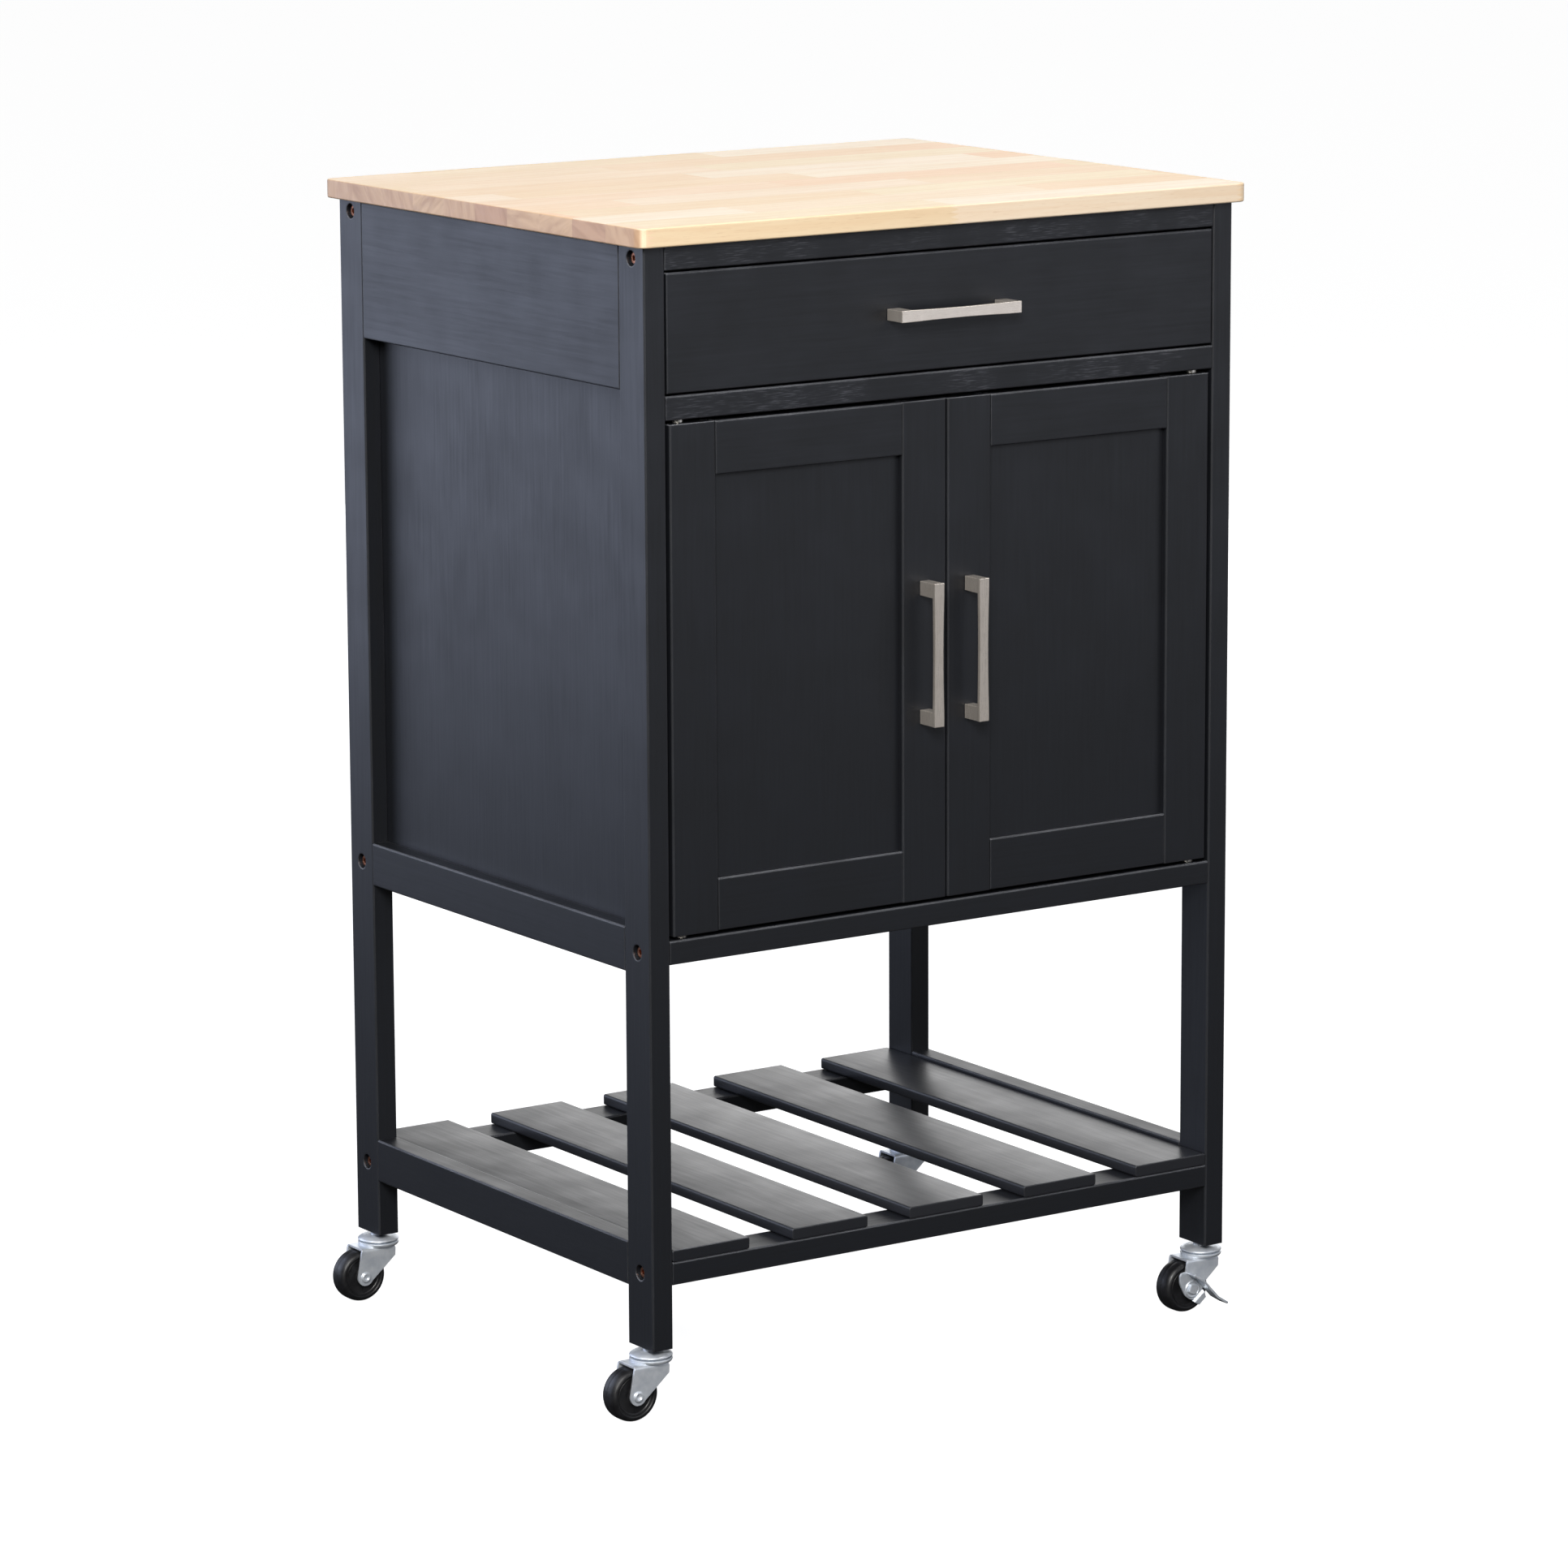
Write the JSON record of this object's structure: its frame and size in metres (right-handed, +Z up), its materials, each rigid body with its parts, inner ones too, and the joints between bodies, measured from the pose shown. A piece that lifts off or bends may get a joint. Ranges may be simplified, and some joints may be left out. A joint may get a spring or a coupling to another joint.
{
  "type": "kitchen cart",
  "caption": "Rolling kitchen cart with a butcher-block worktop, a drawer over a cabinet with doors, an open slatted lower shelf and swivel casters with a foot brake.",
  "frame": {"origin": "middle of the box round the whole cart, on the floor under the wheels", "axes": "+Z up, front with the drawer and doors towards -Y, +X to the right of someone facing the front"},
  "size_m": [0.5798, 0.467, 0.9],
  "materials": {
    "block_wood": "satin oiled rubberwood, finger jointed",
    "black_paint": "satin black paint on timber and hardboard",
    "pale_wood": "matt unpainted wood",
    "nickel": "brushed nickel plate",
    "zinc": "bright zinc plate on pressed steel",
    "steel": "plain turned steel",
    "black_rubber": "matt black rubber tyre on a black plastic hub"
  },
  "bodies": {
    "carcass": {"worktop": "block_wood", "leg_front_left": "black_paint", "leg_back_left": "black_paint", "leg_front_right": "black_paint", "leg_back_right": "black_paint", "side_top_rail_left": "black_paint", "side_bottom_rail_left": "black_paint", "side_top_rail_right": "black_paint", "side_bottom_rail_right": "black_paint", "side_panel_left": "black_paint", "side_panel_right": "black_paint", "front_top_rail": "black_paint", "front_mid_rail": "black_paint", "front_bottom_rail": "black_paint", "back_top_rail": "black_paint", "back_bottom_rail": "black_paint", "back_panel": "black_paint", "cabinet_floor": "black_paint", "shelf_front_rail": "black_paint", "shelf_back_rail": "black_paint", "shelf_side_rail_left": "black_paint", "shelf_side_rail_right": "black_paint", "shelf_slat_1": "black_paint", "shelf_slat_2": "black_paint", "shelf_slat_3": "black_paint", "shelf_slat_4": "black_paint", "shelf_slat_5": "black_paint", "drawer_runner_left": "pale_wood", "drawer_runner_right": "pale_wood", "pivot_pin_left_top": "steel", "pivot_pin_left_bottom": "steel", "pivot_pin_right_top": "steel", "pivot_pin_right_bottom": "steel"},
    "drawer": {"drawer_front": "black_paint", "drawer_side_left": "pale_wood", "drawer_side_right": "pale_wood", "drawer_back": "pale_wood", "drawer_bottom": "pale_wood", "drawer_pull": "nickel"},
    "door_left": {"door_left_outer_stile": "black_paint", "door_left_inner_stile": "black_paint", "door_left_top_rail": "black_paint", "door_left_bottom_rail": "black_paint", "door_left_panel": "black_paint", "door_left_pull": "nickel"},
    "door_right": {"door_right_outer_stile": "black_paint", "door_right_inner_stile": "black_paint", "door_right_top_rail": "black_paint", "door_right_bottom_rail": "black_paint", "door_right_panel": "black_paint", "door_right_pull": "nickel"},
    "caster_front_left": {"caster_fork_front_left": "zinc"},
    "wheel_front_left": {"caster_wheel_front_left": "black_rubber"},
    "caster_back_left": {"caster_fork_back_left": "zinc"},
    "wheel_back_left": {"caster_wheel_back_left": "black_rubber"},
    "caster_front_right": {"caster_fork_front_right": "zinc"},
    "wheel_front_right": {"caster_wheel_front_right": "black_rubber"},
    "caster_back_right": {"caster_fork_back_right": "zinc"},
    "wheel_back_right": {"caster_wheel_back_right": "black_rubber"},
    "brake": {"brake_lever": "zinc"}
  },
  "joints": [
    {"name": "drawer_slide", "type": "slide", "parent": "carcass", "child": "drawer", "axis": [0, -1, 0], "range_m": [0, 0.28]},
    {"name": "door_left_hinge", "type": "hinge", "parent": "carcass", "child": "door_left", "pos_m": [-0.22612, -0.205, 0.5625], "axis": [0, 0, -1], "range_deg": [0, 110]},
    {"name": "door_right_hinge", "type": "hinge", "parent": "carcass", "child": "door_right", "pos_m": [0.24788, -0.205, 0.5625], "axis": [0, 0, 1], "range_deg": [0, 110]},
    {"name": "swivel_front_left", "type": "hinge", "parent": "carcass", "child": "caster_front_left", "pos_m": [-0.25012, -0.1965, 0.052], "axis": [0, 0, 1], "continuous": true},
    {"name": "roll_front_left", "type": "hinge", "parent": "caster_front_left", "child": "wheel_front_left", "pos_m": [-0.26913, -0.1965, 0.02075], "axis": [0, 1, 0], "continuous": true},
    {"name": "swivel_back_left", "type": "hinge", "parent": "carcass", "child": "caster_back_left", "pos_m": [-0.25012, 0.2075, 0.052], "axis": [0, 0, 1], "continuous": true},
    {"name": "roll_back_left", "type": "hinge", "parent": "caster_back_left", "child": "wheel_back_left", "pos_m": [-0.26913, 0.2075, 0.02075], "axis": [0, 1, 0], "continuous": true},
    {"name": "swivel_front_right", "type": "hinge", "parent": "carcass", "child": "caster_front_right", "pos_m": [0.27187, -0.1965, 0.052], "axis": [0, 0, 1], "continuous": true},
    {"name": "roll_front_right", "type": "hinge", "parent": "caster_front_right", "child": "wheel_front_right", "pos_m": [0.25288, -0.1965, 0.02075], "axis": [0, 1, 0], "continuous": true},
    {"name": "swivel_back_right", "type": "hinge", "parent": "carcass", "child": "caster_back_right", "pos_m": [0.27187, 0.2075, 0.052], "axis": [0, 0, 1], "continuous": true},
    {"name": "roll_back_right", "type": "hinge", "parent": "caster_back_right", "child": "wheel_back_right", "pos_m": [0.25288, 0.2075, 0.02075], "axis": [0, 1, 0], "continuous": true},
    {"name": "brake_lever_hinge", "type": "hinge", "parent": "caster_front_right", "child": "brake", "pos_m": [0.25288, -0.1965, 0.02075], "axis": [0, -1, 0], "range_deg": [0, 30]}
  ]
}
